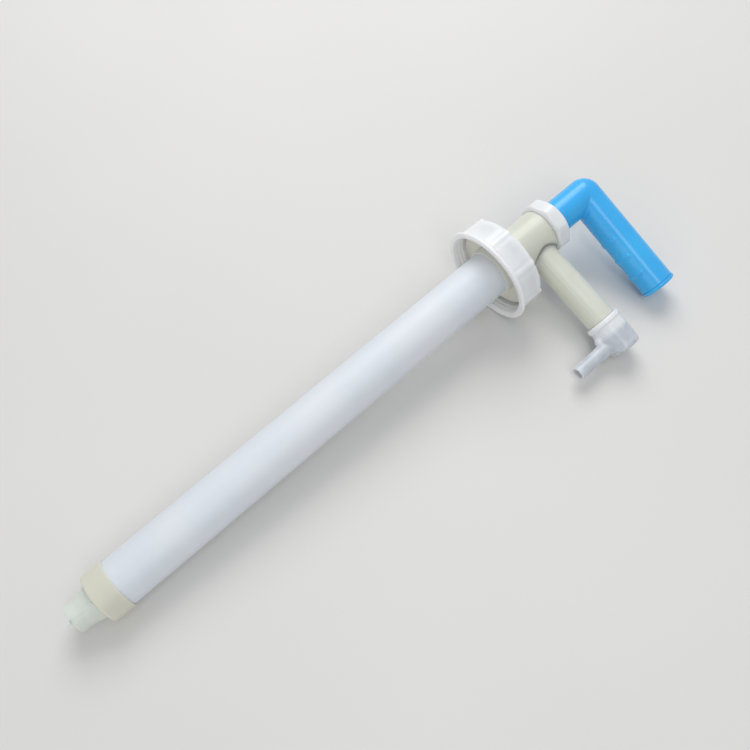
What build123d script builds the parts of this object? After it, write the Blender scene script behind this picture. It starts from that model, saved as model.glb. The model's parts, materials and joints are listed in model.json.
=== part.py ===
from build123d import *
from math import cos, radians, sin
import os

# Drum barrel pump for a 20 to 25 litre canister, in millimetres.
# Every piece is modelled upright: z runs up the pump axis from the rim of the suction spigot,
# and +X is the direction of the spout. At the end the whole pump is laid on its side.

# Barrel and foot
barrel_r = 16.0
bore_r = 14.0
spigot_r = 9.7
spigot_length = 8.7
spigot_bore_r = 7.2
cone_top_r = 12.15
collar_r = 17.0
collar_low = 17.0
collar_high = 31.8
collar_bevel = 1.9
seat_low = 19.0
seat_high = 22.0
foot_seal_height = 1.2
foot_ball_r = 7.0
foot_seat_r = 5.2
foot_seat_z = 20.5
seat_gap = 0.1
ball_lift = 4.0
cage_r = 9.2
nib_length = 2.7
nib_width = 2.0

# Drum nut and the flange that it pulls onto the drum's neck
nut_front = 333.6
nut_height = 20.0
nut_rim_r = 35.2
nut_rim_height = 2.6
nut_body_r = 33.0
nut_flat = 32.3
nut_rib_r = 33.7
nut_rib_width = 3.2
nut_thread_root = 30.8
nut_thread_crest = 29.7
nut_thread_pitch = 3.0
nut_thread_turns = 3
nut_mouth_r = 31.3
nut_wall = 3.2
nut_hole_r = 17.0
rib_count = 8
rib_turn = -62.6
flange_r = 29.0
flange_low = 345.6
flange_high = 350.1
socket_r = 17.4
socket_low = 337.3
joint_z = 341.5
gasket_height = 2.2

# Head, spout and gland
neck_r = 15.7
neck_top_r = 16.1
neck_step_r = 16.6
neck_step_z = 355.5
gland_low = 386.6
gland_high = 398.0
gland_flat = 18.4
gland_corner_r = 19.5
gland_foot_r = 17.2
gland_shoulder_z = 396.0
gland_face_r = 17.0
gland_thread_r = 15.4
bush_low = 385.0
bush_r = 12.5
head_top = 393.0
spout_r = 9.95
spout_bore_r = 8.0
spout_rise = 42.1
spout_reach = 84.0
spout_swell_r = 10.45

# Nozzle elbow, a push fit that turns on the spout
elbow_start = 73.8
elbow_end = 99.8
elbow_r = 12.0
elbow_rim_r = 12.65
elbow_rim_length = 3.5
elbow_wall = 2.2
elbow_bore_r = 10.0
elbow_cavity_r = 9.6
elbow_edge_r = 3.4
elbow_bend_r = 9.0
nozzle_offset = 90.0
nozzle_r = 4.85
nozzle_bore_r = 3.5
nozzle_root_r = 5.2
nozzle_root_length = 4.8
nozzle_reach = 27.0

# Plunger
rod_r = 7.0
rod_bore_r = 5.0
running_gap = 0.05
stop_gap = 0.3
piston_low = 42.0
piston_top = 70.0
piston_ball_r = 6.0
piston_seat_r = 4.2
piston_seat_z = 45.0
cup_low = 44.5
cup_high = 52.5
hub_r = 10.0
sleeve_r = 9.5
stroke = 280.0
handle_r = 11.9
handle_foot_r = 11.5
handle_ring_z = 400.5
grip_rise = 31.9
grip_reach = 83.8
grip_cap_r = 12.4
grip_cap_length = 2.8
grip_bore_r = 9.3
ridge_places = (37.3, 52.0, 66.6)
ridge_height = 0.6
ridge_width = 4.4
ridge_spread = 96.0

# How the pump lies: on the nut's rim, the foot collar, the elbow and the tip of the grip
axis_slope = 3.305
spout_drop = 15.56
handle_turn = 4.94

spout_z = nut_front + spout_rise
grip_z = gland_high + grip_rise
elbow_axis = Location((0, 0, spout_z)) * Rot(0, 90, 0)
grip_axis = Location((0, 0, grip_z)) * Rot(0, 90, 0)
foot_ball_z = foot_seat_z + (foot_ball_r**2 - foot_seat_r**2) ** 0.5 + seat_gap
piston_ball_z = piston_seat_z + (piston_ball_r**2 - piston_seat_r**2) ** 0.5 + seat_gap


def turned(*outline):
    # A closed outline of (radius, height) points, turned about the pump axis.
    wire = Polyline(*[(r, 0, z) for r, z in outline], close=True)
    return revolve(make_face(wire), Axis.Z)


def rod(radius, low, high):
    return Location((0, 0, low)) * Cylinder(
        radius, high - low, align=(Align.CENTER, Align.CENTER, Align.MIN)
    )


def tube(outer, inner, low, high):
    return rod(outer, low, high) - rod(inner, low, high)


def block(low, high):
    # A box given by its lowest and highest corners.
    size = [b - a for a, b in zip(low, high)]
    middle = [(a + b) / 2 for a, b in zip(low, high)]
    return Location(tuple(middle)) * Box(*size)


def around(shape, count, start=0.0):
    return [Rot(0, 0, start + 360.0 / count * i) * shape for i in range(count)]


def suction_spigot():
    # Tube end, cone and flange in one moulding, with the lower valve's seat in its throat.
    body = turned(
        (spigot_bore_r, 0),
        (spigot_r, 0),
        (spigot_r, spigot_length),
        (cone_top_r, collar_low),
        (cone_top_r, seat_low),
        (barrel_r - 0.1, seat_low),
        (barrel_r - 0.1, seat_high),
        (foot_seat_r + 1.5, seat_high),
        (foot_seat_r, foot_seat_z),
        (foot_seat_r, 18.0),
        (spigot_bore_r, 15.5),
    )
    nib = Rot(0, 0, -85.1) * block(
        (spigot_bore_r, -nib_width / 2, -nib_length), (spigot_r - 0.3, nib_width / 2, 1.0)
    )
    return body + nib


def foot_collar():
    return turned(
        (cone_top_r, collar_low),
        (collar_r - collar_bevel, collar_low),
        (collar_r - 0.4, collar_low + 0.6),
        (collar_r, collar_low + collar_bevel),
        (collar_r, collar_high - 0.6),
        (collar_r - 0.6, collar_high),
        (barrel_r, collar_high),
        (barrel_r, seat_low),
        (cone_top_r, seat_low),
    )


def foot_ball_cage():
    # A hat over the ball: the liquid leaves through four windows in its wall.
    top = foot_ball_z + foot_ball_r + ball_lift + stop_gap
    inner_r = foot_ball_r + 0.4
    hat = turned(
        (inner_r, seat_high),
        (bore_r - 0.1, seat_high),
        (bore_r - 0.1, seat_high + 2.0),
        (cage_r, seat_high + 2.0),
        (cage_r, top + 2.2),
        (0, top + 2.2),
        (0, top),
        (inner_r, top),
    )
    window = block((0, -2.6, seat_high + 3.0), (2 * cage_r, 2.6, top - 1.5))
    return hat - around(window, 4, 45)


def barrel_tube():
    return tube(barrel_r, bore_r, seat_high + foot_seal_height, joint_z)


def barrel_socket():
    # Ring below the flange that holds the barrel's end.
    return tube(socket_r, barrel_r, socket_low, flange_low)


def seat_flange():
    # Joins the barrel to the head's neck; the drum nut pulls it onto the drum's neck.
    return tube(flange_r, barrel_r, flange_low, flange_high)


def neck_gasket():
    return tube(flange_r - 0.4, socket_r + 0.1, flange_low - gasket_height, flange_low)


def drum_nut():
    inside_top = nut_front + nut_height - nut_wall
    top = nut_front + nut_height
    column = extrude(RegularPolygon(nut_flat, rib_count, major_radius=False), nut_height)
    shell = Location((0, 0, nut_front)) * Rot(0, 0, rib_turn) * column
    shell &= turned(
        (0, nut_front),
        (nut_body_r, nut_front),
        (nut_body_r, top - 2.4),
        (nut_body_r - 3.4, top),
        (0, top),
    )
    rib = block((nut_thread_root, -nut_rib_width / 2, 0), (nut_rib_r, nut_rib_width / 2, nut_height))
    rib = Location((0, 0, nut_front)) * chamfer(
        rib.edges().filter_by(Axis.Y).group_by(Axis.X)[-1].sort_by(Axis.Z)[-1], 1.6
    )
    rim = turned(
        (0, nut_front),
        (nut_rim_r - 0.5, nut_front),
        (nut_rim_r, nut_front + 0.5),
        (nut_rim_r, nut_front + nut_rim_height - 0.9),
        (nut_body_r - 0.6, nut_front + nut_rim_height + 0.9),
        (0, nut_front + nut_rim_height + 0.9),
    )
    shell = shell + around(rib, rib_count, rib_turn) + rim
    # The cavity's outline: a lead-in, the thread's ridges, a clear space for the flange.
    half = nut_thread_pitch / 2
    ridge_r = nut_thread_crest
    outline = [(0, nut_front), (nut_mouth_r, nut_front), (nut_thread_root, nut_front + 0.8)]
    for turn in range(nut_thread_turns):
        z = nut_front + 1.2 + turn * nut_thread_pitch
        outline += [(nut_thread_root, z), (ridge_r, z + 0.45 * half), (ridge_r, z + 0.9 * half)]
        outline += [(nut_thread_root, z + 1.5 * half)]
    outline += [(nut_thread_root, inside_top), (0, inside_top)]
    return shell - turned(*outline) - rod(nut_hole_r, inside_top, top)


def pump_head():
    # Neck with its thread for the gland, and the spout that leaves it at a right angle.
    neck = turned(
        (0, joint_z),
        (barrel_r, joint_z),
        (barrel_r, flange_high + 0.1),
        (neck_step_r, flange_high + 0.1),
        (neck_step_r, neck_step_z),
        (neck_r, neck_step_z + 0.9),
        (neck_top_r, gland_low),
        (gland_thread_r, gland_low),
        (gland_thread_r, head_top),
        (0, head_top),
    )
    # The spout swells a little towards its end, and steps back to fit the elbow.
    spout = elbow_axis * turned(
        (0, 0), (spout_r, 0), (spout_r, 22.0), (spout_swell_r, elbow_start - 0.3),
        (spout_r, elbow_start - 0.3), (spout_r, spout_reach), (0, spout_reach),
    )
    seam = fillet((neck + spout).edges().filter_by(GeomType.BSPLINE), 1.2)
    passage = elbow_axis * rod(spout_bore_r, 0, spout_reach)
    return seam - passage - rod(bore_r, joint_z, bush_low) - rod(bush_r, bush_low, head_top)


def gland_guide_bush():
    # Flanged bush that centres the rod, with a recess on top for the rod's seal.
    return turned(
        (rod_r + running_gap, bush_low),
        (bush_r, bush_low),
        (bush_r, head_top),
        (gland_thread_r, head_top),
        (gland_thread_r, head_top + 1.5),
        (10.0, head_top + 1.5),
        (10.0, head_top - 2.5),
        (rod_r + running_gap, head_top - 2.5),
    )


def gland_rod_seal():
    return turned(
        (rod_r + running_gap, head_top - 2.5),
        (10.0, head_top - 2.5),
        (10.0, head_top + 1.5),
        (8.4, head_top + 1.5),
        (8.0, head_top - 0.5),
        (rod_r + running_gap, head_top + 1.1),
    )


def gland_washer():
    return tube(gland_thread_r, rod_r + 0.4, head_top + 1.5, gland_high - 2.5)


def gland_nut():
    # Octagonal cap nut with bevelled ends, screwed down on the head's step.
    column = extrude(RegularPolygon(gland_flat, rib_count, major_radius=False), gland_high - gland_low)
    shell = Location((0, 0, gland_low)) * Rot(0, 0, rib_turn) * column
    shell &= turned(
        (0, gland_low),
        (gland_foot_r, gland_low),
        (gland_corner_r, gland_low + gland_corner_r - gland_foot_r),
        (gland_corner_r, gland_shoulder_z),
        (gland_face_r + 0.6, gland_shoulder_z + 0.9),
        (gland_face_r, gland_high),
        (0, gland_high),
    )
    lid = gland_high - 2.5
    return shell - rod(gland_thread_r, gland_low, lid) - rod(rod_r + 0.6, lid, gland_high)


def round_corner(side, end, radius):
    # What is cut from a corner on the outlet's side, to round it about an axis across both tubes.
    whole = block((0, -side, 0), (radius + 1, side, radius + 1))
    return Location((side - radius, 0, end - radius)) * (whole - Rot(90, 0, 0) * Cylinder(radius, 2 * side))


def nozzle_elbow():
    # Cup that slips over the spout's end, with the outlet tube leaving its side towards the foot.
    cup = rod(elbow_r, elbow_start, elbow_end)
    cup = fillet(cup.edges().sort_by(Axis.Z)[-1], elbow_edge_r)
    cup -= round_corner(elbow_r, elbow_end, elbow_bend_r)
    rim = rod(elbow_rim_r, elbow_start, elbow_start + elbow_rim_length)
    rim = fillet(rim.edges().filter_by(GeomType.CIRCLE), 0.9)
    socket = rod(elbow_bore_r, elbow_start, spout_reach + stop_gap)
    cavity_end = elbow_end - elbow_wall
    cavity = rod(elbow_cavity_r, spout_reach, cavity_end)
    cavity = fillet(cavity.edges().sort_by(Axis.Z)[-1], 1.6)
    cavity -= round_corner(elbow_cavity_r, cavity_end, elbow_bend_r - elbow_wall)
    low = spout_z - elbow_r
    web = Polyline(
        (76.5, low + 1), (76.5, low - 0.4), (83.8, low - 3.4), (84.4, low - 4.6), (nozzle_offset, low - 4.6),
        (nozzle_offset, low + 1), close=True,
    )
    web = extrude(Plane.XZ * make_face(web), 3.6, both=True)
    tip = low - nozzle_reach
    outlet = rod(nozzle_r, tip, low) + rod(nozzle_root_r, low - nozzle_root_length, low + 4)
    bore = rod(nozzle_bore_r, tip, spout_z)
    beside = Location((nozzle_offset, 0, 0))
    return elbow_axis * (cup + rim) + web + beside * outlet - elbow_axis * (socket + cavity) - beside * bore


def piston_body():
    # Flow-through piston: seat below, ball chamber, windows above the seal, stem socket on top.
    chamber_r = piston_ball_r + 0.6
    chamber_top = 62.0
    body = turned(
        (piston_seat_r, piston_low),
        (13.2, piston_low),
        (13.2, cup_low),
        (hub_r, cup_low),
        (hub_r, 57.0),
        (9.6, 57.0),
        (9.6, 66.0),
        (rod_r, piston_top),
        (3.0, piston_top),
        (3.0, 64.5),
        (0, 64.5),
        (0, chamber_top),
        (chamber_r, chamber_top),
        (chamber_r, piston_seat_z + 1.4),
        (piston_seat_r + 1.4, piston_seat_z + 1.4),
        (piston_seat_r, piston_seat_z),
    )
    window = block((0, -2.4, 57.4), (12, 2.4, 61.6))
    pin_hole = Location((0, 0, pin_z)) * Rot(0, 90, 0) * rod(1.0, -12, 12)
    return body - around(window, 4, 45) - pin_hole


pin_z = piston_ball_z + piston_ball_r + ball_lift + stop_gap + 1.0


def piston_ball_pin():
    return Location((0, 0, pin_z)) * Rot(0, 90, 0) * rod(1.0, -9.5, 9.5)


def piston_cup_seal():
    # Cup with a lip that leans on the barrel's wall and opens upwards.
    clear = running_gap
    return turned(
        (hub_r + clear, cup_low + clear),
        (bore_r - 0.5, cup_low + clear),
        (bore_r - clear, cup_low + 3.0),
        (bore_r - clear, cup_high - clear),
        (bore_r - 1.4, cup_high - clear),
        (bore_r - 1.9, cup_low + 3.2),
        (hub_r + 1.2, cup_low + 2.4),
        (hub_r + clear, cup_low + 2.4),
    )


def piston_seal_nut():
    # Ring nut that clamps the cup on the piston's hub.
    return turned(
        (hub_r, cup_low + 2.6),
        (hub_r + 1.1, cup_low + 2.6),
        (hub_r + 1.3, cup_high),
        (12.6, cup_high + 0.6),
        (12.6, cup_high + 3.6),
        (hub_r, cup_high + 3.6),
    )


def rod_end_plug():
    return rod(rod_bore_r, piston_top, piston_top + 12) + rod(3.0, 64.5, piston_top)


def plunger_rod():
    return tube(rod_r, rod_bore_r, piston_top, grip_z - 6.0)


def stroke_sleeve():
    # Spacer on the rod: it meets the guide bush at the top of the stroke.
    return tube(sleeve_r, rod_r, piston_top, bush_low - stop_gap - stroke)


def handle():
    # Shaft and grip meet in a corner that is round outside and a sharp mitre inside.
    shaft = rod(handle_r, handle_ring_z, grip_z) + rod(
        handle_foot_r, gland_high + stop_gap, handle_ring_z
    )
    grip = grip_axis * rod(handle_r, 0, grip_reach - grip_cap_length)
    corner = Location((0, 0, grip_z)) * Sphere(handle_r)
    solid = shaft + grip + corner
    for place in ridge_places:
        # A low rounded bar that wraps the side of the grip that faces the foot.
        half = ridge_width / 2
        crest = (handle_r + ridge_height, place)
        arc = ThreePointArc((handle_r, place - half), crest, (handle_r, place + half))
        base = Polyline((handle_r, place + half), (handle_r - 1, place + half),
                        (handle_r - 1, place - half), (handle_r, place - half))
        outline = Plane.XZ * make_face(arc + base)
        bar = Rot(0, 0, -ridge_spread / 2) * revolve(outline, Axis.Z, ridge_spread)
        solid += grip_axis * bar
    solid -= rod(rod_r, gland_high, grip_z - 6.0)
    solid -= grip_axis * rod(grip_bore_r, 16.0, grip_reach)
    return Rot(0, 0, handle_turn) * solid


def grip_end_plug():
    cap = rod(grip_cap_r, grip_reach - grip_cap_length, grip_reach)
    cap = fillet(cap.edges().sort_by(Axis.Z)[-1], 1.0)
    cup = tube(grip_bore_r, grip_bore_r - 1.8, grip_reach - 12, grip_reach - grip_cap_length)
    return Rot(0, 0, handle_turn) * (grip_axis * (cap + cup))


pieces = {
    "suction_spigot": suction_spigot(),
    "foot_collar": foot_collar(),
    "foot_seal_ring": tube(barrel_r - 0.1, bore_r, seat_high, seat_high + foot_seal_height),
    "foot_ball_cage": foot_ball_cage(),
    "foot_valve_ball": Location((0, 0, foot_ball_z)) * Sphere(foot_ball_r),
    "barrel_tube": barrel_tube(),
    "barrel_socket": barrel_socket(),
    "seat_flange": seat_flange(),
    "neck_gasket": neck_gasket(),
    "drum_nut": drum_nut(),
    "pump_head": pump_head(),
    "gland_guide_bush": gland_guide_bush(),
    "gland_rod_seal": gland_rod_seal(),
    "gland_washer": gland_washer(),
    "gland_nut": gland_nut(),
    "nozzle_elbow": nozzle_elbow(),
    "piston_body": piston_body(),
    "piston_ball_pin": piston_ball_pin(),
    "piston_valve_ball": Location((0, 0, piston_ball_z)) * Sphere(piston_ball_r),
    "piston_cup_seal": piston_cup_seal(),
    "piston_seal_nut": piston_seal_nut(),
    "rod_end_plug": rod_end_plug(),
    "plunger_rod": plunger_rod(),
    "stroke_sleeve": stroke_sleeve(),
    "handle": handle(),
    "grip_end_plug": grip_end_plug(),
}

# The pump's own axes as they lie: the axis rises towards the handle, the spout drops to the floor.
slope = radians(axis_slope)
drop = radians(spout_drop)
up_axis = (cos(slope), 0, sin(slope))
spout_axis = (sin(drop) * sin(slope), -cos(drop), -sin(drop) * cos(slope))
laid = Plane(origin=(0, 0, 0), x_dir=spout_axis, z_dir=up_axis).location
box = Compound([laid * piece for piece in pieces.values()]).bounding_box()
shift = (-box.center().X, -box.center().Y, -box.min.Z)
laid = Location(shift) * laid

os.makedirs("parts", exist_ok=True)
for name, piece in pieces.items():
    export_step(laid * piece, f"parts/{name}.step")
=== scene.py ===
import json
from math import cos, pi, radians, sin, tan

import bpy
import numpy as np
from mathutils import Matrix, Vector


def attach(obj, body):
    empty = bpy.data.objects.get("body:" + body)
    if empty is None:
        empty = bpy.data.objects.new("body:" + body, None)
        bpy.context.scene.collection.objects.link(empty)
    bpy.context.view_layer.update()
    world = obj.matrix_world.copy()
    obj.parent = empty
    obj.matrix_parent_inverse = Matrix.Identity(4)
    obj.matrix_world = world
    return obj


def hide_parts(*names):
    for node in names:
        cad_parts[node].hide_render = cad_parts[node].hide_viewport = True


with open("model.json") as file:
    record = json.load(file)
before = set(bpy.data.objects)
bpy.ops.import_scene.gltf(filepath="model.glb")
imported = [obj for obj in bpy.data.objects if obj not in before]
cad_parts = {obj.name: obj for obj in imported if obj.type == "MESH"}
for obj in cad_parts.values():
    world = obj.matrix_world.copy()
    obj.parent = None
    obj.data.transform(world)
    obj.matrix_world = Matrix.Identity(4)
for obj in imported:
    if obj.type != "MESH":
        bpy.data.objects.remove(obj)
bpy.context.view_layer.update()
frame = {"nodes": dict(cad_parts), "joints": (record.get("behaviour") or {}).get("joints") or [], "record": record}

# The pump's own axes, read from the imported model
joints = {joint["name"]: joint for joint in frame["joints"]}
mounts = {mount["name"]: mount for mount in frame["record"]["mounts"]}
upAxis = np.array(joints["plunger_slide"]["axis"], float)
spoutAxis = np.array(joints["nozzle_swivel"]["axis"], float)
sideAxis = np.cross(upAxis, spoutAxis)
spigotMount = mounts["suction_spigot"]
halfSpigot = spigotMount["dims"]["length_mm"] / 2000
rimPoint = np.array(spigotMount["pos_m"]) + np.array(spigotMount["axis"]) * halfSpigot


def heightOf(jointName):
    # Height in millimetres of a joint's point above the rim of the suction spigot.
    return float((np.array(joints[jointName]["pos_m"]) - rimPoint) @ upAxis) * 1000


nutFront = heightOf("drum_nut_turn")
spoutHeight = heightOf("nozzle_swivel")
gripHeight = heightOf("plunger_turn")


def toRow(points):
    # Millimetres beside and up the pump (towards the spout, sideways, up the axis) to the row frame.
    points = np.asarray(points, float)
    turned = points[..., :1] * spoutAxis + points[..., 1:2] * sideAxis + points[..., 2:3] * upAxis
    return rimPoint + turned / 1000


# Surfaces


def roundedOutline(corners, closed=True, fineness=14):
    # A line through (radius, height, rounding, step) corners. Each corner becomes an arc of its
    # rounding, tangent to both its sides, and the side after it is cut into pieces of its step.
    corner = np.array(corners, float)
    count = len(corner)
    runs = []
    for i in range(count):
        here, rounding = corner[i, :2], corner[i, 2]
        if rounding <= 0 or (not closed and i in (0, count - 1)):
            runs.append(here[None])
            continue
        back = corner[i - 1, :2] - here
        ahead = corner[(i + 1) % count, :2] - here
        lengthBack, lengthAhead = np.linalg.norm(back), np.linalg.norm(ahead)
        back, ahead = back / lengthBack, ahead / lengthAhead
        opening = np.arccos(np.clip(back @ ahead, -1, 1))
        reach = min(rounding / tan(opening / 2), 0.48 * lengthBack, 0.48 * lengthAhead)
        radius = reach * tan(opening / 2)
        middle = here + (back + ahead) / np.linalg.norm(back + ahead) * radius / sin(opening / 2)
        start, end = here + back * reach - middle, here + ahead * reach - middle
        turn = pi - opening
        share = np.linspace(0, 1, max(3, int(fineness * turn / pi * 2)))[:, None]
        runs.append(middle + (np.sin((1 - share) * turn) * start + np.sin(share * turn) * end) / sin(turn))
    line = [runs[0]]
    for i in range(1, count + (1 if closed else 0)):
        a, b = line[-1][-1], runs[i % count][0]
        pieces = int(np.ceil(np.linalg.norm(b - a) / corner[i - 1, 3]))
        if pieces > 1:
            line.append(a + (b - a) * np.linspace(0, 1, pieces + 1)[1:-1, None])
        if i < count:
            line.append(runs[i])
    return np.concatenate(line)


def carryRound(outline, segments):
    # Radius, angle and height arrays of an outline of (radius, height) turned about the pump axis.
    angle = np.linspace(0, 2 * pi, segments, endpoint=False)
    radius = np.repeat(outline[:, :1], segments, axis=1)
    height = np.repeat(outline[:, 1:], segments, axis=1)
    return radius, np.repeat(angle[None], len(outline), axis=0), height


def roundPoints(radius, angle, height):
    return np.stack([radius * np.cos(angle), radius * np.sin(angle), height], axis=-1)


def smooth(low, high, value):
    # 0 below low, 1 above high, and the cubic 3t^2 - 2t^3 between.
    t = np.clip((value - low) / (high - low), 0, 1)
    return t * t * (3 - 2 * t)


def bell(value, width):
    # A bump of height 1: e to the minus half the square of value over width.
    return np.exp(-0.5 * (value / width) ** 2)


def gridFaces(rows, cols, wrapRows, start):
    i, j = np.meshgrid(np.arange(rows if wrapRows else rows - 1), np.arange(cols), indexing="ij")
    right = (j + 1) % cols
    below = (i + 1) % rows
    quads = np.stack([i * cols + j, i * cols + right, below * cols + right, below * cols + j], axis=-1)
    return (quads.reshape(-1, 4) + start).tolist()


def fan(rowStart, cols, pole, flip):
    j = np.arange(cols)
    right = (j + 1) % cols
    ring = [rowStart + right, rowStart + j] if flip else [rowStart + j, rowStart + right]
    return np.stack([np.full(cols, pole), ring[0], ring[1]], axis=-1).tolist()


def buildPiece(name, grids, body, replaced, material, sharpAngle=38):
    # One mesh from closed grids of (rows, columns, 3) points in millimetres. A grid either closes on
    # itself along its rows (a ring) or ends in two poles.
    points, faces, start = [], [], 0
    for grid in grids:
        mesh = grid["points"]
        rows, cols = mesh.shape[:2]
        ring = "poles" not in grid
        local = gridFaces(rows, cols, ring, start)
        block = [mesh.reshape(-1, 3)]
        if not ring:
            first, last = start + rows * cols, start + rows * cols + 1
            block.append(np.array(grid["poles"], float))
            local += fan(start, cols, first, True) + fan(start + (rows - 1) * cols, cols, last, False)
        block = np.concatenate(block)
        flat = np.array([f if len(f) == 4 else f + f[-1:] for f in local]) - start
        a, b, c, d = (block[flat[:, k]] for k in range(4))
        volume = sum(np.einsum("ij,ij->i", a, np.cross(*pair)).sum() for pair in ((b, c), (c, d)))
        faces += local if volume > 0 else [f[::-1] for f in local]
        points.append(block)
        start += len(block)
    addPiece(name, np.concatenate(points), faces, body, replaced, material, sharpAngle)


def addPiece(name, points, faces, body, replaced, material, sharpAngle):
    data = bpy.data.meshes.new(name)
    data.from_pydata(toRow(points).tolist(), [], faces)
    data.polygons.foreach_set("use_smooth", np.ones(len(data.polygons), bool))
    data.set_sharp_from_angle(angle=radians(sharpAngle))
    data.materials.append(material)
    piece = bpy.data.objects.new(name, data)
    bpy.context.scene.collection.objects.link(piece)
    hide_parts(*replaced)
    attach(piece, body)
    print("made", name, len(data.vertices), "points")


def surfaceNet(field, low, high, step):
    # One point in each grid cell that the field's zero surface crosses, slid down the field's slope
    # onto that surface, and one quad round each grid edge that it crosses.
    axes = [np.arange(a, b + step, step) for a, b in zip(low, high)]
    solid = field(*np.meshgrid(*axes, indexing="ij")) < 0
    cut = [slice(0, -1), slice(1, None)]
    corners = sum(solid[a, b, c].astype(int) for a in cut for b in cut for c in cut)
    crossed = (corners > 0) & (corners < 8)
    index = np.full(crossed.shape, -1)
    index[crossed] = np.arange(crossed.sum())
    centre = np.argwhere(crossed) * step + np.array(low) + step / 2
    points = centre.copy()
    nudge, rounds = 0.01, 14
    for _ in range(rounds):
        value = field(*points.T)
        slope = np.stack([(field(*(points + way).T) - field(*(points - way).T)) / (2 * nudge)
                          for way in nudge * np.eye(3)], axis=-1)
        points -= value[:, None] * slope / np.maximum((slope ** 2).sum(1), 0.3)[:, None]
        points = np.clip(points, centre - step / 2, centre + step / 2)
    faces = []
    for axis in range(3):
        first, second = (axis + 1) % 3, (axis + 2) % 3
        ahead, behind = [slice(None)] * 3, [slice(None)] * 3
        behind[axis], ahead[axis] = slice(0, -1), slice(1, None)
        edges = np.argwhere(solid[tuple(behind)] != solid[tuple(ahead)])
        ring = []
        for a, b in ((-1, -1), (0, -1), (0, 0), (-1, 0)):
            cell = edges.copy()
            cell[:, first] += a
            cell[:, second] += b
            ring.append(index[tuple(cell.T)])
        ring = np.stack(ring, axis=-1)
        flip = ~solid[tuple(edges.T)]
        ring[flip] = ring[flip][:, ::-1]
        faces.append(ring)
    return points, np.concatenate(faces).tolist()


def meetRound(first, second, rounding):
    # Distance to what two solids share, with the edge between them rounded.
    beyond = np.hypot(np.maximum(first + rounding, 0), np.maximum(second + rounding, 0))
    return np.minimum(np.maximum(first, second), -rounding) + beyond


def joinSoft(first, second, reach):
    # Distance to two solids together, with a hollow curve between them.
    near = np.maximum(reach - np.abs(first - second), 0) / reach
    return np.minimum(first, second) - near * near * reach / 4


# Shader helpers


class Wire:
    # A socket that takes + - and * with numbers and other wires.

    def __init__(self, graph, socket):
        self.graph, self.socket = graph, socket

    def maths(self, operation, first, second):
        return self.graph.add("ShaderNodeMath", {"operation": operation}, {0: first, 1: second})

    def __add__(self, other):
        return self.maths("ADD", self, other)

    def __radd__(self, other):
        return self.maths("ADD", other, self)

    def __sub__(self, other):
        return self.maths("SUBTRACT", self, other)

    def __mul__(self, other):
        return self.maths("MULTIPLY", self, other)

    def __rmul__(self, other):
        return self.maths("MULTIPLY", other, self)


class Graph:
    # A material, and the methods that add its nodes.

    def __init__(self, name):
        self.material = bpy.data.materials.new(name)
        self.material.use_nodes = True
        self.tree = self.material.node_tree
        self.shader = self.tree.nodes["Principled BSDF"]

    def link(self, node, key, value):
        socket = node.inputs[key]
        if isinstance(value, Wire):
            self.tree.links.new(value.socket, socket)
        elif isinstance(value, (tuple, list)) and len(value) == 3 and socket.type == "RGBA":
            socket.default_value = (*value, 1)
        else:
            socket.default_value = value

    def add(self, kind, settings=None, inputs=None, output=0):
        node = self.tree.nodes.new(kind)
        for key, value in (settings or {}).items():
            setattr(node, key, value)
        for key, value in (inputs or {}).items():
            self.link(node, key, value)
        return Wire(self, node.outputs[output])

    def coords(self):
        return self.add("ShaderNodeTexCoord", None, None, "Object")

    def noise(self, vector, scale, detail=3.0, roughness=0.5):
        return self.add("ShaderNodeTexNoise", None,
                        {"Vector": vector, "Scale": scale, "Detail": detail, "Roughness": roughness})

    def vector(self, operation, first, second, output=0):
        return self.add("ShaderNodeVectorMath", {"operation": operation}, {0: first, 1: second}, output)

    def mix(self, factor, first, second):
        return self.add("ShaderNodeMix", {"data_type": "RGBA"}, {0: factor, 6: first, 7: second}, 2)

    def clamp(self, value, low, high):
        # 0 at low, 1 at high, straight between.
        return self.add("ShaderNodeMapRange", {"clamp": True},
                        {0: value, 1: low, 2: high, 3: 0.0, 4: 1.0})


usual = {                    # what a plastic's look leaves unsaid
    "driftScale": 22.0,
    "driftAmount": 1.0,
    "grainScale": 2600.0,
    "grainDepth": 1.0,
    "wearScale": 160.0,
    "waveDepth": 1.5,
    "roughSpread": 0.2,
    "speckScale": 900.0,
    "speckFrom": 0.70,
    "speckAmount": 0.25,
    "speckColour": (0.9, 0.9, 0.9),
    "drawnLines": (18.0, 1500.0, 1500.0),   # along the pump and across it
    "bump": 0.35,
    "bumpDistance": 0.00004,
    "scatter": (1.0, 0.95, 0.85),
    "sockets": {},
}


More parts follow.
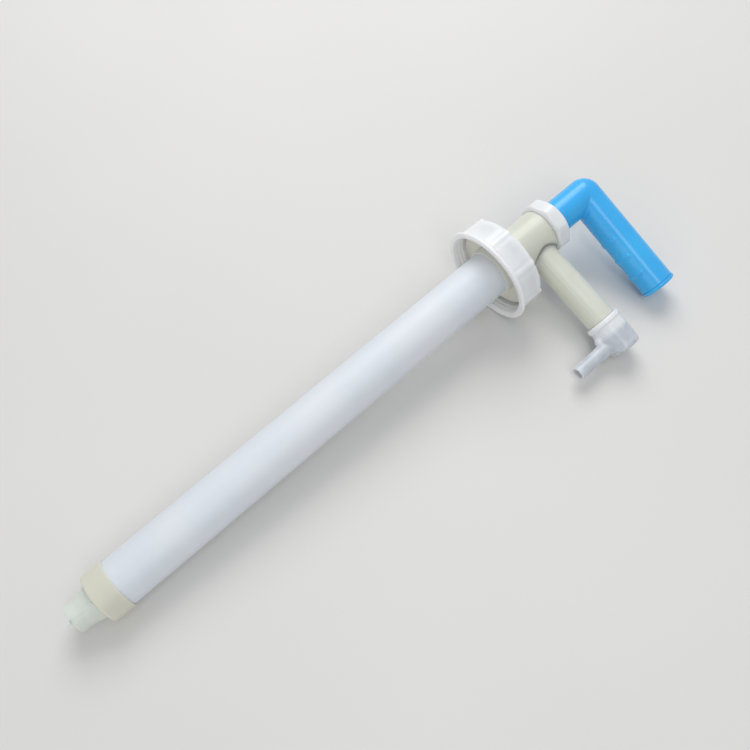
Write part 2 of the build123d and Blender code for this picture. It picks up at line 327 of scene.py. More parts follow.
def plastic(name, given):
    # Moulded or drawn plastic: slow colour drift, pale dust specks, uneven gloss, a fine grain,
    # and on drawn tube a set of faint lines along the pump.
    look = {**usual, **given}
    graph = Graph(name)
    where = graph.coords()
    drift = graph.clamp(graph.noise(where, look["driftScale"], 2.0), 0.36, 0.64)
    grain = graph.noise(where, look["grainScale"], 2.0, 0.6)
    wear = graph.noise(where, look["wearScale"], 4.0, 0.65)
    colour = graph.mix(drift * look["driftAmount"], look["base"], look["shade"])
    specks = graph.noise(where, look["speckScale"], 1.0)
    specks = graph.clamp(specks, look["speckFrom"], look["speckFrom"] + 0.05)
    colour = graph.mix(specks * look["speckAmount"], colour, look["speckColour"])
    if "deep" in look:
        # Painted shade: the wall past the spout's end is painted darker, in a cloudy patch, because nothing pale
        # stands behind it to let light through.
        line = look["deep"]
        along = graph.vector("DOT_PRODUCT", where, tuple(line["direction"]), 1)
        shadow = graph.clamp(along, line["from"], line["to"])
        cloud = graph.clamp(graph.noise(where, line["cloudScale"], 2.0), 0.3, 0.7)
        colour = graph.mix(shadow * (0.7 + 0.3 * cloud), colour, line["colour"])
    gloss = look["rough"] + (wear - 0.5) * look["roughSpread"]
    height = grain * look["grainDepth"] + wear * look["waveDepth"]
    if "drawn" in look:
        lines = graph.noise(graph.vector("MULTIPLY", where, look["drawnLines"]), 1.0, 2.0)
        height = height + lines * look["drawn"]
        gloss = gloss + (lines - 0.5) * 0.08
    bump = graph.add("ShaderNodeBump", None, {"Height": height, "Strength": look["bump"],
                                              "Distance": look["bumpDistance"]})
    graph.link(graph.shader, "Base Color", colour)
    graph.link(graph.shader, "Roughness", gloss)
    graph.link(graph.shader, "Normal", bump)
    graph.link(graph.shader, "Subsurface Radius", look["scatter"])
    for key, value in look["sockets"].items():
        graph.link(graph.shader, key, value)
    return graph.material


pastSpout = [float(toRow([reach, 0, 0]) @ spoutAxis) for reach in (82.5, 86.0)]
looks = {
    "barrelWhite": {"base": (0.73, 0.76, 0.80), "shade": (0.69, 0.73, 0.78), "rough": 0.50,
                    "drawn": 2.0, "speckAmount": 0.10,
                    "sockets": {"Subsurface Weight": 0.15, "Subsurface Scale": 0.003}},
    "headCream": {"base": (0.73, 0.74, 0.65), "shade": (0.69, 0.70, 0.59), "rough": 0.32,
                  "waveDepth": 3.0, "sockets": {"Subsurface Weight": 0.7, "Subsurface Scale": 0.006}},
    # painted light: a paler copy of the head cream for the parts inside the nut, standing in for light let through
    # the nut
    "socketCreamPaintedLight": {"base": (0.93, 0.92, 0.83), "shade": (0.90, 0.89, 0.78), "rough": 0.36,
                    "waveDepth": 3.0, "sockets": {"Subsurface Weight": 0.5, "Subsurface Scale": 0.006}},
    "collarCream": {"base": (0.73, 0.72, 0.60), "shade": (0.69, 0.68, 0.55), "rough": 0.36,
                    "waveDepth": 3.0, "sockets": {"Subsurface Weight": 0.4, "Subsurface Scale": 0.004}},
    "nutNatural": {"base": (0.85, 0.86, 0.87), "shade": (0.82, 0.83, 0.83), "rough": 0.36,
                   "waveDepth": 3.0, "speckAmount": 0.1,
                   "sockets": {"Subsurface Weight": 0.6, "Subsurface Scale": 0.008}},
    "milkyClear": {"base": (0.87, 0.90, 0.91), "shade": (0.83, 0.87, 0.89), "rough": 0.28,
                   "waveDepth": 1.0, "speckAmount": 0.0, "bump": 0.15,
                   # painted shade: the elbow wall past the spout's end is painted darker
                   "deep": {"direction": spoutAxis, "from": pastSpout[0], "to": pastSpout[1],
                            "cloudScale": 130.0, "colour": (0.50, 0.54, 0.59)},
                   "sockets": {"Subsurface Weight": 0.7, "Subsurface Scale": 0.006}},
    "spigotClear": {"base": (0.72, 0.76, 0.72), "shade": (0.64, 0.69, 0.61), "rough": 0.30,
                    "waveDepth": 3.0, "speckAmount": 0.1,
                    "sockets": {"Subsurface Weight": 0.5, "Subsurface Scale": 0.005}},
    "handleBlue": {"base": (0.05, 0.47, 0.90), "shade": (0.045, 0.42, 0.86), "rough": 0.24,
                   "roughSpread": 0.10, "speckAmount": 0.03, "waveDepth": 3.0,
                   "sockets": {"Subsurface Weight": 0.1, "Subsurface Scale": 0.002}},
    "sealRubber": {"base": (0.035, 0.035, 0.037), "shade": (0.02, 0.02, 0.022), "rough": 0.6,
                   "speckAmount": 0.1},
    "innerPlastic": {"base": (0.84, 0.83, 0.74), "shade": (0.80, 0.79, 0.69), "rough": 0.42},
    "valveSteel": {"base": (0.62, 0.62, 0.63), "shade": (0.55, 0.55, 0.57), "rough": 0.18,
                   "roughSpread": 0.1, "speckAmount": 0.0, "sockets": {"Metallic": 1.0}},
}
materials = {name: plastic(name, look) for name, look in looks.items()}
print("materials ready")

slotMaterials = {
    "head_cream": "headCream", "barrel_white": "barrelWhite", "natural_white": "nutNatural",
    "milky_clear": "milkyClear", "spigot_clear": "spigotClear", "handle_blue": "handleBlue",
    "seal_rubber": "sealRubber", "inner_plastic": "innerPlastic", "valve_steel": "valveSteel",
}
slotOfNode = {part["node"]: part["material_slot"] for part in frame["record"]["subparts"]}
# Painted light: the socket and seat inside the nut get a paler copy of the cream, standing in for the light that
# shines through the translucent nut.
insideNut = ("barrel_socket", "seat_flange")   # paler than the rest of their slot
for nodeName, node in frame["nodes"].items():
    node.material_slots[0].material = materials[slotMaterials[slotOfNode[nodeName]]]
for nodeName in insideNut:
    frame["nodes"][nodeName].material_slots[0].material = materials["socketCreamPaintedLight"]

# Barrel
barrel = {
    "outside": 16.0,
    "inside": 14.0,
    "low": 23.2,
    "high": 341.5,
    "swell": 0.03,           # half of how far the drawn wall wanders inward
    "swellLength": 31.0,
}


def makeBarrel():
    # A drawn tube: its outside wanders inward by swell times 1 plus the sine of the height over
    # swellLength plus twice the angle.
    outline = roundedOutline([
        (barrel["inside"], barrel["low"], 0.3, 5), (barrel["outside"], barrel["low"], 0.4, 3),
        (barrel["outside"], barrel["high"], 0.4, 1), (barrel["inside"], barrel["high"], 0.3, 6)])
    radius, angle, height = carryRound(outline, 144)
    wander = 1 + np.sin(height / barrel["swellLength"] + 2 * angle)
    radius = radius - barrel["swell"] * wander * (radius > 15)
    buildPiece("barrel", [{"points": roundPoints(radius, angle, height)}], "pump",
               ["barrel_tube"], materials["barrelWhite"])


makeBarrel()


# Suction spigot
spigot = {
    "outline": [             # radius, height, rounding and step of each corner
        (7.2, 0, 0.35, 1), (9.7, 0, 0.45, 0.7), (9.7, 6.6, 9, 0.7), (12.15, 17, 0.2, 1),
        (12.15, 19, 0, 1), (15.9, 19, 0.2, 1), (15.9, 22, 0.2, 1), (6.7, 22, 0.2, 1),
        (5.2, 20.5, 0.2, 1), (5.2, 18, 0.4, 1), (7.2, 15.5, 0.8, 1.5)],
    "seamTurn": -91.0,       # degrees round from the spout
    "seamHeight": 0.3,
    "seamWidth": 0.35,
    "dimpleAt": 16.2,
    "dimpleDepth": 0.8,
    "dimpleWidth": 0.5,
    "nibTurn": -85.1,
    "nibOut": 8.3,
    "nibLevel": -0.85,
    "nibHalf": (1.05, 1.0, 1.85),
    "nibBlunt": 0.38,        # 1 is a round nib, 0 a sharp box
}


def blunt(value):
    # Keeps the sign, and raises the size to the nib's small power.
    return np.sign(value) * np.abs(value) ** spigot["nibBlunt"]


def makeNib():
    # A rounded box: each half size times a small power of the sine or cosine.
    u = np.linspace(-pi / 2, pi / 2, 26)[1:-1, None]
    v = np.linspace(0, 2 * pi, 48, endpoint=False)[None]
    deep, wide, tall = spigot["nibHalf"]
    out = spigot["nibOut"] + deep * blunt(np.cos(u)) * blunt(np.cos(v))
    side = wide * blunt(np.cos(u)) * blunt(np.sin(v))
    lift = spigot["nibLevel"] + tall * blunt(np.sin(u)) * np.ones_like(v)
    nib = radians(spigot["nibTurn"])
    x, y = out * cos(nib) - side * sin(nib), out * sin(nib) + side * cos(nib)
    poleX, poleY = spigot["nibOut"] * cos(nib), spigot["nibOut"] * sin(nib)
    ends = [(poleX, poleY, spigot["nibLevel"] + way * tall) for way in (-1, 1)]
    return {"points": np.stack([x, y, lift], axis=-1), "poles": ends}


def makeSpigot():
    # Turned outline, plus a moulding seam: a bell across the angle, smooth-stepped along the height,
    # and a round dimple, a bell of the distance from its centre, where the seam meets the collar.
    radius, angle, height = carryRound(roundedOutline(spigot["outline"]), 480)
    seam = radians(spigot["seamTurn"])
    across = np.angle(np.exp(1j * (angle - seam))) * radius
    outside = (radius > 9) & (height < 17.2)
    rise = bell(across, spigot["seamWidth"]) * smooth(1.5, 7, height) * (1 - smooth(15, 16.4, height))
    dimple = bell(np.hypot(across, height - spigot["dimpleAt"]), spigot["dimpleWidth"])
    radius = radius + outside * (spigot["seamHeight"] * rise - spigot["dimpleDepth"] * dimple)
    grids = [{"points": roundPoints(radius, angle, height)}, makeNib()]
    buildPiece("spigot", grids, "pump", ["suction_spigot"], materials["spigotClear"])


makeSpigot()


# Foot collar
collar = {
    "outside": 17.0,
    "low": 17.0,
    "high": 31.8,
    "onCone": 12.15,
    "onBarrel": 16.05,
    "ledge": 19.0,
    "bevel": ((1.9, 0.0), (0.4, 0.6), (0.0, 1.9)),   # inward and up, from its lower outer corner
}


def makeCollar():
    bevel = [(collar["outside"] - inward, collar["low"] + up, 0.6, 1) for inward, up in collar["bevel"]]
    outline = roundedOutline([
        (collar["onCone"], collar["low"], 0.15, 1), *bevel, (collar["outside"], collar["high"], 0.3, 1),
        (collar["onBarrel"], collar["high"], 0.15, 2), (collar["onBarrel"], collar["ledge"], 0.1, 1),
        (collar["onCone"], collar["ledge"], 0, 1)])
    radius, angle, height = carryRound(outline, 144)
    buildPiece("footCollar", [{"points": roundPoints(radius, angle, height)}], "pump",
               ["foot_collar"], materials["collarCream"])


makeCollar()


# Drum nut
drumNut = {
    "height": 20.0,
    "flat": 32.3,           # middle of each of the eight flats
    "corner": 33.0,
    "ribTop": 33.65,
    "ribHalf": 1.9,
    "ribTurn": -62.6,
    "rim": 35.2,
    "rimHeight": 2.6,
    "rimFall": (3.2, 2.6),   # inward, and along the pump
    "rearBevel": (3.4, 2.4),
    "wall": 3.2,
    "hole": 17.0,
    "threadRoot": 30.8,
    "threadDepth": 0.6,
    "threadStart": 1.3,
    "threadPitch": 3.0,
    "threadEnd": 9.6,
    "mouth": 31.3,
}


def ribbedAngles(count, ribTurn, crowding):
    # Even steps pulled towards the eight ribs: step minus crowding times sin(8 step) over 8.
    even = np.linspace(0, 2 * pi, count, endpoint=False)
    return even - crowding * np.sin(8 * even) / 8 + radians(ribTurn)


def ribDistance(angle, ribTurn):
    # Signed angle to the nearest of eight ribs.
    step = pi / 4
    return (angle - radians(ribTurn) + step / 2) % step - step / 2


def makeDrumNut():
    front, top = nutFront, nutFront + drumNut["height"]
    inside = top - drumNut["wall"]
    outline = roundedOutline([
        (drumNut["threadRoot"], front + 0.9, 0.4, 0.34), (drumNut["threadRoot"], inside, 1.2, 1.2),
        (drumNut["hole"], inside, 0.3, 1.1), (drumNut["hole"], top, 0.3, 1.1),
        (drumNut["corner"], top, 0.9, 0.5), (drumNut["corner"], front, 0.9, 0.5),
        (drumNut["mouth"], front, 0.5, 0.4)])
    angle = ribbedAngles(512, drumNut["ribTurn"], 0.6)[None]
    radius, height = outline[:, :1], outline[:, 1:]
    off = ribDistance(angle, drumNut["ribTurn"])
    # Octagon with softened corners, cut back by the rear bevel.
    fromFlat = pi / 8 - np.abs(off)
    body = drumNut["flat"] / np.cos(fromFlat)
    body = body - 0.5 * (body - drumNut["corner"] + np.hypot(body - drumNut["corner"], 0.25))
    inward, along = drumNut["rearBevel"]
    body = body - inward * np.clip((height - (top - along)) / along, 0, 1) ** 1.3
    # Ribs: level top, shoulders that fall smoothly to the flats, a bevelled rear end.
    across = np.abs(off) * drumNut["corner"]
    shoulder = 1 - smooth(drumNut["ribHalf"] - 1.5, drumNut["ribHalf"] + 1.5, across)
    ribTop = drumNut["ribTop"] - 1.6 * smooth(top - 1.3, top + 0.2, height) ** 1.5
    body = body + np.maximum(ribTop - body, 0) * shoulder
    # Rim, with a hollow curve down to the body.
    rimFall, fallLength = drumNut["rimFall"]
    fall = np.clip((height - front - drumNut["rimHeight"] + 0.9) / fallLength, 0, 1)
    rim = drumNut["rim"] - rimFall * smooth(0, 1, fall)
    outer = 0.5 * (body + rim + np.hypot(body - rim, 0.35))
    outer = np.minimum(outer, drumNut["rim"])
    rear = smooth(inside + 0.2, inside + 1.2, height)
    share = (1 - rear) * np.clip((radius - drumNut["mouth"]) / (drumNut["corner"] - drumNut["mouth"]), 0, 1)
    share = share + rear * np.clip((radius - drumNut["hole"]) / (drumNut["corner"] - drumNut["hole"]), 0, 1)
    # Right-hand thread on the inner wall: a round ridge that climbs one pitch in each turn.
    climb = (height - front - drumNut["threadStart"]) / drumNut["threadPitch"] - angle / (2 * pi)
    ridge = (0.5 + 0.5 * np.cos(2 * pi * climb)) ** 1.6
    threadEnd = front + drumNut["threadEnd"]
    ridge = ridge * smooth(front + 0.9, front + 2.0, height)
    ridge = ridge * (1 - smooth(threadEnd - 1.5, threadEnd, height))
    onWall = (np.abs(radius - drumNut["threadRoot"]) < 0.02) & (height < inside)
    newRadius = radius + (outer - drumNut["corner"]) * share - drumNut["threadDepth"] * ridge * onWall
    angle, height = np.broadcast_to(angle, newRadius.shape), np.broadcast_to(height, newRadius.shape)
    buildPiece("drumNut", [{"points": roundPoints(newRadius, angle, height)}], "union_nut",
               ["drum_nut"], materials["nutNatural"])


makeDrumNut()


# Gland nut
glandNut = {
    "low": 386.6,
    "high": 398.0,
    "flat": 18.4,            # middle of each of the eight flats
    "corner": 19.5,
    "foot": 16.6,
    "bevel": 2.3,
    "shoulder": 396.0,
    "face": 17.0,
    "cornerTurn": -62.6,
    "thread": 15.4,
    "hole": 7.6,
    "lid": 2.5,
}


def makeGlandNut():
    # A turned outline; outside the thread its radius is cut down to a soft octagon.
    low, high, lid = glandNut["low"], glandNut["high"], glandNut["high"] - glandNut["lid"]
    outline = roundedOutline([
        (glandNut["thread"], low, 0.2, 1), (glandNut["foot"], low, 0.4, 0.4),
        (glandNut["corner"], low + glandNut["bevel"], 0.9, 0.5),
        (glandNut["corner"], glandNut["shoulder"], 0.6, 0.3),
        (glandNut["face"] + 0.6, glandNut["shoulder"] + 0.9, 0.5, 0.3),
        (glandNut["face"], high, 0.8, 0.8), (glandNut["hole"], high, 0.3, 1),
        (glandNut["hole"], lid, 0.2, 1), (glandNut["thread"], lid, 0.2, 1)])
    angle = ribbedAngles(384, glandNut["cornerTurn"], 0.5)[None]
    radius, height = outline[:, :1], outline[:, 1:]
    off = ribDistance(angle, glandNut["cornerTurn"])
    octagon = glandNut["flat"] / np.cos(pi / 8 - np.abs(off))
    octagon = octagon - 0.5 * (octagon - glandNut["corner"] + np.hypot(octagon - glandNut["corner"], 0.6))
    newRadius = radius - 0.5 * (radius - octagon + np.hypot(radius - octagon, 0.5))
    outside = smooth(glandNut["thread"] + 0.6, glandNut["foot"], radius)
    newRadius = radius + (newRadius - radius) * outside
    angle, height = np.broadcast_to(angle, newRadius.shape), np.broadcast_to(height, newRadius.shape)
    buildPiece("glandNut", [{"points": roundPoints(newRadius, angle, height)}], "pump",
               ["gland_nut"], materials["nutNatural"])


makeGlandNut()


# Pump head: neck and spout
head = {
    "neckOutline": [         # radius, height, rounding and step of each corner
        (14, 341.5, 0.3, 1.5), (16, 341.5, 0.3, 1.5), (16, 350.2, 0, 1), (16.6, 350.2, 0.2, 1.5),
        (16.6, 355.3, 0.7, 0.8), (15.75, 356.5, 0.9, 1.6), (16.1, 386.6, 0.2, 0.8),
        (15.4, 386.6, 0, 1), (15.4, 393, 0.3, 1), (12.5, 393, 0.2, 1), (12.5, 385, 0, 1),
        (14, 385, 0, 3)],
    "neck": 15.85,
    "neckInside": 14.4,      # where the spout's bore ends, inside the neck's wall
    "spout": 9.95,
    "swell": 10.45,          # spout radius just before the elbow
    "swellEnd": 73.4,
    "bore": 8.0,
    "reach": 84.0,
    "flare": 2.0,
    "seamTurns": (-131.0, 49.0),   # degrees round the spout from the top of the pump
    "seamHeight": 0.16,
    "seamWidth": 0.3,
}


def makeHead():
    outline = roundedOutline(head["neckOutline"])
    radius, angle, height = carryRound(outline, 192)
    grids = [{"points": roundPoints(radius, angle, height)}]
    # Spout: each row's radius is the tube's plus flare (1 - sin), and its reach is the neck's own
    # surface at that radius plus flare (1 - cos), so it leaves the neck and meets the tube tangent.
    turn = np.linspace(0, 2 * pi, 256, endpoint=False)[None]
    quarter = np.linspace(0, 1, 15)[:, None] * pi / 2
    flared = head["spout"] + head["flare"] * (1 - np.sin(quarter)) + 0 * turn
    onNeck = np.sqrt(head["neck"] ** 2 - (flared * np.sin(turn)) ** 2)
    root = onNeck + head["flare"] * (1 - np.cos(quarter))
    inner = np.sqrt(head["neckInside"] ** 2 - (head["bore"] * np.sin(turn)) ** 2)
    straight = np.linspace(0, 1, 44)[1:, None]
    step = np.array([(head["spout"] + 0.15, 0.25), (head["spout"] + 0.02, 0.3), (head["spout"], 1.0)])
    rows = [
        (flared, root),
        (head["spout"] + (head["swell"] - head["spout"]) * straight + 0 * turn,
         root[-1:] + (head["swellEnd"] - root[-1:]) * straight),
        (head["swell"] - 0.15 + 0 * turn, head["swellEnd"] + 0.15 + 0 * turn),
        (step[:, :1] + 0 * turn, head["swellEnd"] + step[:, 1:] + 0 * turn),
        (head["spout"] + 0 * turn, head["reach"] - 0.3 + 0 * turn),
        (head["spout"] - 0.3 + 0 * turn, head["reach"] + 0 * turn),
        (head["bore"] + 0.2 + 0 * turn, head["reach"] + 0 * turn),
        (head["bore"] + 0 * turn, head["reach"] - 0.2 + 0 * turn),
        (head["bore"] + 0 * straight * turn, head["reach"] - 0.2 + (inner - head["reach"] + 0.2) * straight),
    ]
    across, reach = (np.concatenate([row[k] for row in rows]) for k in (0, 1))
    turns = np.broadcast_to(turn, across.shape)
    fromSeam = [np.angle(np.exp(1j * (turns - radians(seam)))) * across for seam in head["seamTurns"]]
    seams = bell(fromSeam[0], head["seamWidth"]) + bell(fromSeam[1], head["seamWidth"])
    fade = smooth(17, 24, reach) * (1 - smooth(head["swellEnd"] - 8, head["swellEnd"] - 1, reach))
    across = across + head["seamHeight"] * seams * fade * (across > 9.6)
    spout = np.stack([reach, across * np.sin(turns), spoutHeight + across * np.cos(turns)], axis=-1)
    grids.append({"points": spout})
    buildPiece("pumpHead", grids, "pump", ["pump_head"], materials["headCream"])


makeHead()


# Nozzle elbow
elbow = {
    "start": 73.8,
    "end": 99.8,
    "outside": 12.0,
    "draft": 0.5,            # how much narrower the cup is at its end
    "endEdge": 3.4,
    "outletCorner": 9.0,
    "rim": 12.65,
    "rimLength": 3.5,
    "socket": 10.02,
    "socketEnd": 84.3,
    "cavity": 9.6,
    "wall": 2.2,
    "outletAt": 90.0,
    "outlet": 4.85,
    "outletRoot": 5.2,
    "outletTip": -38.97,     # below the spout's axis, towards the foot
    "bore": 3.5,
    "webStart": (79.0, -11.7),
    "webEnd": (84.2, -15.4),
    "webHalf": 3.6,
    "blend": 1.6,
    "step": 0.42,            # size of the net's cells
    "margin": 0.9,           # room round the elbow in the net's box
}


def elbowField(reach, side, level):
    # Distance to the elbow's surface: level is measured from the spout's axis, negative to the foot.
    fromAxis = np.hypot(side, level)
    fromOutlet = np.hypot(reach - elbow["outletAt"], side)
    outside = elbow["outside"] - elbow["draft"] * smooth(elbow["start"] + 2, elbow["end"], reach)
    cup = meetRound(fromAxis - outside, reach - elbow["end"], elbow["endEdge"])
    cup = meetRound(cup, meetRound(-level - outside, reach - elbow["end"], elbow["outletCorner"]), 0.8)
    cup = meetRound(cup, elbow["start"] - reach, 0.5)
    middle = elbow["start"] + elbow["rimLength"] / 2
    rim = meetRound(fromAxis - elbow["rim"], np.abs(reach - middle) - elbow["rimLength"] / 2, 0.9)
    outletRadius = elbow["outlet"] + (elbow["outletRoot"] - elbow["outlet"]) * smooth(-21.0, -15.0, level)
    tube = meetRound(meetRound(fromOutlet - outletRadius, elbow["outletTip"] - level, 0.4), level + 4, 0.5)
    (startReach, startLevel), (endReach, endLevel) = elbow["webStart"], elbow["webEnd"]
    span = np.hypot(endReach - startReach, endLevel - startLevel)
    slope = (endLevel - startLevel) * (reach - startReach) - (endReach - startReach) * (level - startLevel)
    slope = slope / span
    web = meetRound(slope, np.maximum(endLevel - level, reach - elbow["outletAt"]), 2.0)
    web = np.maximum(np.maximum(web, level + 8), elbow["start"] + 1.5 - reach)
    web = meetRound(web, np.abs(side) - elbow["webHalf"], 2.4)
    solid = joinSoft(joinSoft(cup, rim, 0.8), joinSoft(tube, web, elbow["blend"]), elbow["blend"])
    within = np.where(reach < elbow["socketEnd"], elbow["socket"], elbow["cavity"])
    pastEnd = reach - elbow["end"] + elbow["wall"]
    corner = meetRound(-level - elbow["cavity"], pastEnd, elbow["outletCorner"] - elbow["wall"])
    inside = meetRound(fromAxis - within, pastEnd, 1.6)
    inside = np.maximum(inside, np.where(reach > elbow["socketEnd"], corner, -1.0))
    bore = np.maximum(fromOutlet - elbow["bore"], level)
    return meetRound(meetRound(solid, -inside, 0.25), -bore, 0.25)


def makeElbow():
    margin = elbow["margin"]
    low = (elbow["start"] - margin, -elbow["rim"] - margin, elbow["outletTip"] - margin)
    high = (elbow["end"] + margin, elbow["rim"] + margin, elbow["rim"] + margin)
    points, faces = surfaceNet(elbowField, low, high, elbow["step"])
    points[:, 2] += spoutHeight
    addPiece("nozzleElbow", points, faces, "nozzle", ["nozzle_elbow"],
             materials["milkyClear"], 50)


makeElbow()


# Handle and its end cap
handle = {
    "radius": 11.9,
    "foot": (11.5, 398.3, 400.5),   # radius, lowest and highest level of the narrow foot
    "innerBend": 0.9,
    "gripEnd": 81.0,
    "gripTurn": 4.94,               # degrees round from the spout
    "ridges": (37.3, 52.0, 66.6),
    "ridgeHeight": 0.7,
    "ridgeHalf": 2.6,
    "ridgeSpread": 48.0,            # degrees each way from the side that faces the foot
    "stepHeight": 0.22,
    "capRadius": 12.4,
    "capEnd": 83.8,
    "plugDepth": 9.2,        # how far the cap reaches into the grip
    "plugRadius": 9.28,
    "plugBore": 7.5,
}


def toGrip(points):
    turn = radians(handle["gripTurn"])
    x, y, z = (points[..., k] for k in range(3))
    return np.stack([x * cos(turn) - y * sin(turn), x * sin(turn) + y * cos(turn), z], axis=-1)


def makeHandle():
    bend, radius = handle["innerBend"], handle["radius"]
    a = np.linspace(0, 2 * pi, 288, endpoint=False)[None]
    outer, inner = np.maximum(np.cos(a), 0), np.maximum(-np.cos(a), 0)
    footRadius, footLow, footHigh = handle["foot"]

    def upright(size, level):
        size, level = np.broadcast_arrays(size + 0 * a, level + 0 * a)
        return np.stack([-size * np.cos(a) + 0 * level, size * np.sin(a), level], axis=-1)

    def level(size, reach):
        size, reach = np.broadcast_arrays(size + 0 * a, reach + 0 * a)
        return np.stack([reach, size * np.sin(a), gripHeight + size * np.cos(a)], axis=-1)

    def share(count):
        return np.linspace(0, 1, count)[:, None]

    socketTop = gripHeight - 6.0
    shaftEnd = gripHeight - bend - radius * inner
    shaftStart = footHigh + 0.4
    rows = [
        upright(3.5, socketTop), upright(6.8, socketTop),
        upright(7.0, socketTop - 0.2 + (footLow + 0.5 - socketTop) * share(10)),
        upright(7.2, footLow), upright(footRadius - 0.3, footLow), upright(footRadius, footLow + 0.3),
        upright(footRadius, footHigh - 0.3), upright(footRadius + 0.1, footHigh - 0.05),
        upright(radius - 0.12, footHigh + 0.1),
        upright(radius, shaftStart + (shaftEnd - shaftStart) * share(26)),
    ]
    # The bend: the outside turns on a radius of its distance from the inner crease, and the inside
    # turns on the small radius of the crease itself.
    beta = share(26)[1:-1] * pi / 2
    swing = radius * outer + bend
    centreX, centreZ = radius * inner + bend, gripHeight - radius * inner - bend
    rows.append(np.stack([centreX - swing * np.cos(beta), radius * np.sin(a) + 0 * beta,
                          centreZ + swing * np.sin(beta)], axis=-1))
    start = radius * inner + bend
    reach = start + (handle["gripEnd"] - 0.5 - start) * share(190)
    # Grip radius: the tube's, plus a bell for each finger ridge and a low step before the first.
    fromInner = np.degrees(np.abs(np.angle(np.exp(1j * (a - pi)))))
    side = 1 - smooth(handle["ridgeSpread"] - 4, handle["ridgeSpread"] + 1.5, fromInner)
    ridge = sum((np.abs(reach - place) < handle["ridgeHalf"]) *
                np.cos((reach - place) / handle["ridgeHalf"] * pi / 2) ** 2 for place in handle["ridges"])
    step = handle["stepHeight"] * (1 - smooth(36, 47, reach)) * smooth(0, 3, reach - start)
    size = radius + side * (handle["ridgeHeight"] * ridge + step * (1 - ridge))
    rows.append(level(size, reach))
    end = handle["gripEnd"]
    rows += [level(radius - 0.15, end - 0.12), level(radius - 0.5, end), level(9.5, end),
             level(9.3, end - 0.3 + (16.3 - end) * share(8)), level(5.0, 16.0)]
    points = toGrip(np.concatenate(rows))
    poles = toGrip(np.array([(0, 0, socketTop), (16.0, 0, gripHeight)]))
    buildPiece("handle", [{"points": points, "poles": poles}], "plunger",
               ["handle"], materials["handleBlue"], 60)


makeHandle()


def makeEndCap():
    low, lip = handle["gripEnd"], handle["capEnd"]
    foot, plug, bore = low - handle["plugDepth"], handle["plugRadius"], handle["plugBore"]
    outline = roundedOutline([
        (bore, foot, 0.3, 1), (plug, foot, 0.4, 1), (plug, low + 0.02, 0, 1),
        (handle["capRadius"] - 0.25, low + 0.02, 0.25, 0.5), (handle["capRadius"], low + 0.9, 0.5, 0.5),
        (handle["capRadius"] - 0.25, lip - 0.7, 0.5, 0.5), (handle["capRadius"] - 1.3, lip - 0.05, 0.6, 1),
        (4.0, lip - 0.35, 2, 1), (0.8, lip - 0.4, 0, 1)], closed=False)
    inside = roundedOutline([(0.8, low + 0.6, 0, 1), (bore, low + 0.6, 0.6, 1), (bore, foot, 0, 1)],
                            closed=False)
    outline = np.concatenate([inside[:-1], outline])
    size, angle, reach = carryRound(outline, 160)
    points = np.stack([reach, size * np.sin(angle), gripHeight + size * np.cos(angle)], axis=-1)
    poles = np.array([(low + 0.6, 0, gripHeight), (lip - 0.4, 0, gripHeight)])
    buildPiece("gripCap", [{"points": toGrip(points), "poles": toGrip(poles)}], "plunger",
               ["grip_end_plug"], materials["handleBlue"])


makeEndCap()


# Camera
viewing = {
    "lens": 36.85,             # millimetres on a 36 mm sensor
    "tilt": 12.54,             # degrees that the pump's far end leans away
    "roll": 39.9,              # degrees that the pump runs up from the level
    "round": 20.2,             # degrees round the pump axis, from straight above towards the spout
    "nutMouth": (99.7, -3.15, 519.6),   # millimetres from the camera: along the pump, across it, deep
}


def makeCamera():
    spoutLevel = np.array([0.0, -1.0, 0.0])
    above = np.array([-upAxis[2], 0.0, upAxis[0]])
    around, tilt, roll = (radians(viewing[key]) for key in ("round", "tilt", "roll"))
    facing = sin(around) * spoutLevel + cos(around) * above
    across = cos(around) * spoutLevel - sin(around) * above
    along = cos(tilt) * upAxis + sin(tilt) * facing
    deep = sin(tilt) * upAxis - cos(tilt) * facing
    right = cos(roll) * along + sin(roll) * across
    down = -sin(roll) * along + cos(roll) * across
    x, y, z = (value / 1000 for value in viewing["nutMouth"])
    place = np.array(joints["drum_nut_turn"]["pos_m"]) - x * along - y * across - z * deep
    data = bpy.data.cameras.new("camera")
    data.lens, data.sensor_width = viewing["lens"], 36.0
    data.clip_start, data.clip_end = 0.01, 20.0
    camera = bpy.data.objects.new("camera", data)
    turn = Matrix((right, -down, -deep)).transposed().to_4x4()
    camera.matrix_world = Matrix.Translation(Vector(place)) @ turn
    bpy.context.scene.collection.objects.link(camera)
    bpy.context.scene.camera = camera


makeCamera()


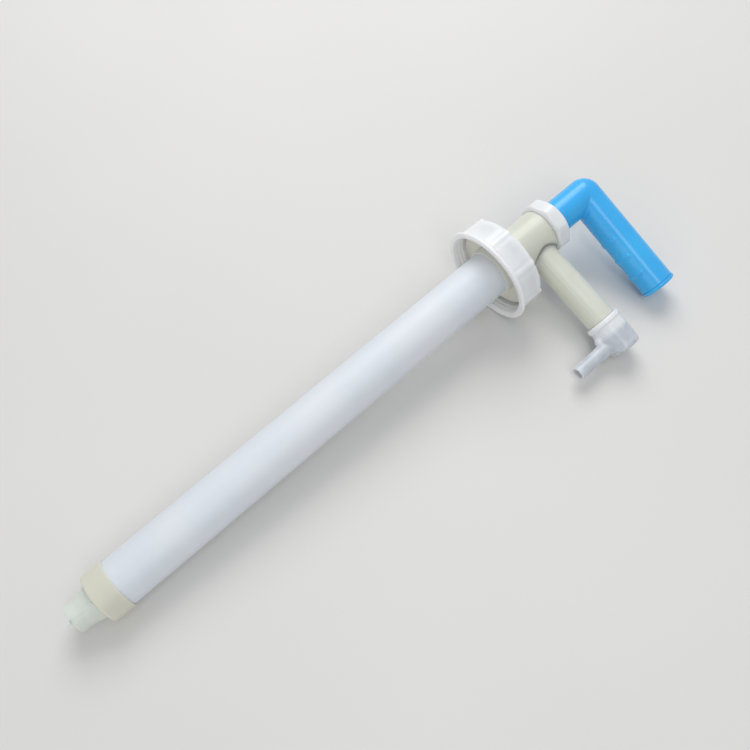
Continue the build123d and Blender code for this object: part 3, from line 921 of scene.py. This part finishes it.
# Floor and light
studio = {
    "floorSize": 6.0,
    "floorColour": (0.70, 0.69, 0.67),
    "worldColour": (0.80, 0.82, 0.85),
    "worldStrength": 0.57,
    "keyPower": 10.5,
    "keySize": 0.9,
    "keyFrom": (0.55, 0.75, 1.05),
    "panelPower": 2.2,
    "panelFrom": (-0.10, -0.40, 0.97),
    "panelSize": (0.22, 0.8),
    "fillPower": 2.2,
    "fillSize": 0.9,
    "fillFrom": (-1.1, -0.45, 0.55),
}


def areaLight(name, place, power, width, depth):
    data = bpy.data.lights.new(name, "AREA")
    data.shape, data.size, data.size_y = "RECTANGLE", width, depth
    data.energy = power
    light = bpy.data.objects.new(name, data)
    light.location = place
    light.rotation_mode = "QUATERNION"
    light.rotation_quaternion = (Vector((0.05, 0, 0)) - Vector(place)).to_track_quat("-Z", "Y")
    bpy.context.scene.collection.objects.link(light)


def makeStudio():
    half = studio["floorSize"] / 2
    data = bpy.data.meshes.new("floor")
    corners = [(-half, -half, 0), (half, -half, 0), (half, half, 0), (-half, half, 0)]
    data.from_pydata(corners, [], [(0, 1, 2, 3)])
    graph = Graph("floorPaper")
    where = graph.coords()
    shade = graph.clamp(graph.noise(where, 3.0, 2.0), 0.35, 0.65)
    lighter = tuple(value * 1.03 for value in studio["floorColour"])
    graph.link(graph.shader, "Base Color", graph.mix(shade, studio["floorColour"], lighter))
    graph.link(graph.shader, "Roughness", 0.8)
    data.materials.append(graph.material)
    floor = bpy.data.objects.new("floor", data)
    bpy.context.scene.collection.objects.link(floor)
    world = bpy.data.worlds.new("studio")
    world.use_nodes = True
    world.node_tree.nodes["Background"].inputs["Color"].default_value = (*studio["worldColour"], 1)
    world.node_tree.nodes["Background"].inputs["Strength"].default_value = studio["worldStrength"]
    bpy.context.scene.world = world
    areaLight("key", studio["keyFrom"], studio["keyPower"], studio["keySize"], studio["keySize"])
    areaLight("panel", studio["panelFrom"], studio["panelPower"], *studio["panelSize"])
    areaLight("fill", studio["fillFrom"], studio["fillPower"], studio["fillSize"], studio["fillSize"])
    bpy.context.scene.view_settings.view_transform = "Standard"


makeStudio()
print("studio ready")
